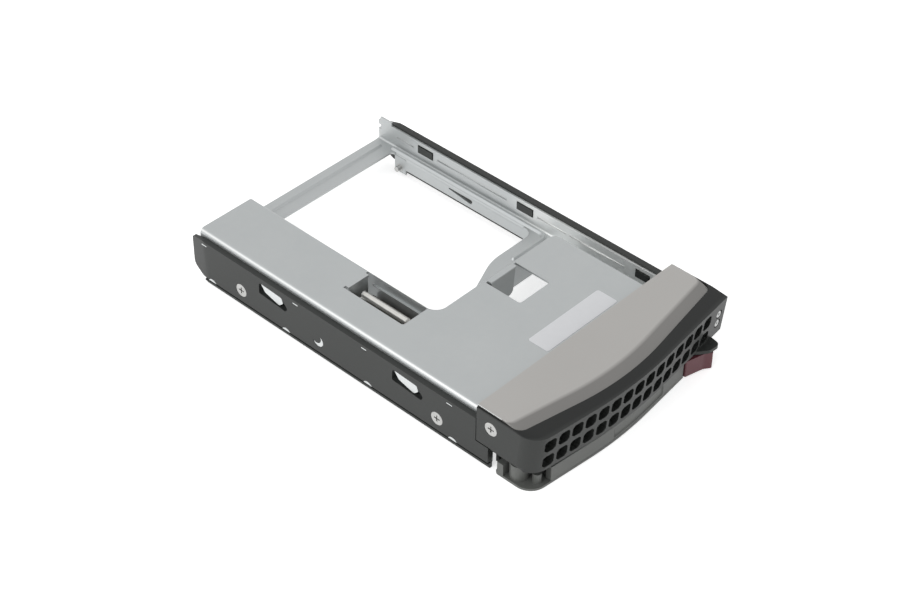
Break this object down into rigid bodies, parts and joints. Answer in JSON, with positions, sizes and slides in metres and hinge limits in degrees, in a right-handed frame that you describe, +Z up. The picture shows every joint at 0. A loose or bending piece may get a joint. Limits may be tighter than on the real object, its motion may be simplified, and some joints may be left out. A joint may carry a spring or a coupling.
{
  "type": "hot swap drive caddy",
  "caption": "Slide-in tray that adapts a small disk drive to a larger server bay, with a front grille, swing lever and spring release button.",
  "frame": {"origin": "centre of the footprint, on the plane that the rails' feet rest on", "axes": "+Y runs from the grille to the rear of the tray, +Z is up, +X is to the right seen from the front"},
  "size_m": [0.1068, 0.1813, 0.0271],
  "materials": {
    "galvanised_sheet": "spangled zinc coat, satin",
    "black_plastic": "fine moulded grain",
    "cover_paint": "smooth warm grey, satin",
    "zinc_screw": "bright zinc plate",
    "lever_steel": "dark grey satin",
    "lever_plastic": "dark grey moulded",
    "release_red": "burgundy satin moulding",
    "light_guide": "frosted clear",
    "label_film": "pale grey film",
    "spring_steel": "bright drawn wire",
    "latch_plastic": "grainy dark brown",
    "latch_steel": "polished rod"
  },
  "bodies": {
    "tray": {"tray_sheet": "galvanised_sheet", "left_rail": "black_plastic", "right_rail": "black_plastic", "left_rail_screw_front": "zinc_screw", "left_rail_screw_rear": "zinc_screw", "right_rail_screw_front": "zinc_screw", "right_rail_screw_rear": "zinc_screw", "bezel": "black_plastic", "bezel_screw_left": "zinc_screw", "bezel_screw_right": "zinc_screw", "front_cover": "cover_paint", "label": "label_film", "light_pipe_upper": "light_guide", "light_pipe_lower": "light_guide", "lever_pivot_pin": "zinc_screw", "button_spring": "spring_steel", "latch_spring": "spring_steel", "drive_pin_rear_right": "latch_steel", "drive_pin_front_right": "latch_steel", "drive_pin_rear_left": "latch_steel"},
    "lever": {"lever": "lever_steel", "lever_face": "lever_plastic"},
    "button": {"release_button": "release_red"},
    "latch": {"drive_latch": "latch_plastic", "latch_bar": "latch_steel", "latch_pin": "latch_steel"}
  },
  "joints": [
    {"name": "lever_hinge", "type": "hinge", "parent": "tray", "child": "lever", "pos_m": [-0.0483, -0.07547, 0.004], "axis": [0, 0, -1], "range_deg": [0, 65]},
    {"name": "button_slide", "type": "slide", "parent": "tray", "child": "button", "axis": [0, 1, 0], "range_m": [0, 0.002], "stiffness_N_per_m": 400, "springref_m": -0.002, "deforming": ["button_spring"]},
    {"name": "latch_slide", "type": "slide", "parent": "tray", "child": "latch", "axis": [-1, 0, 0], "range_m": [0, 0.0025], "stiffness_N_per_m": 300, "springref_m": -0.003, "deforming": ["latch_spring"]}
  ]
}
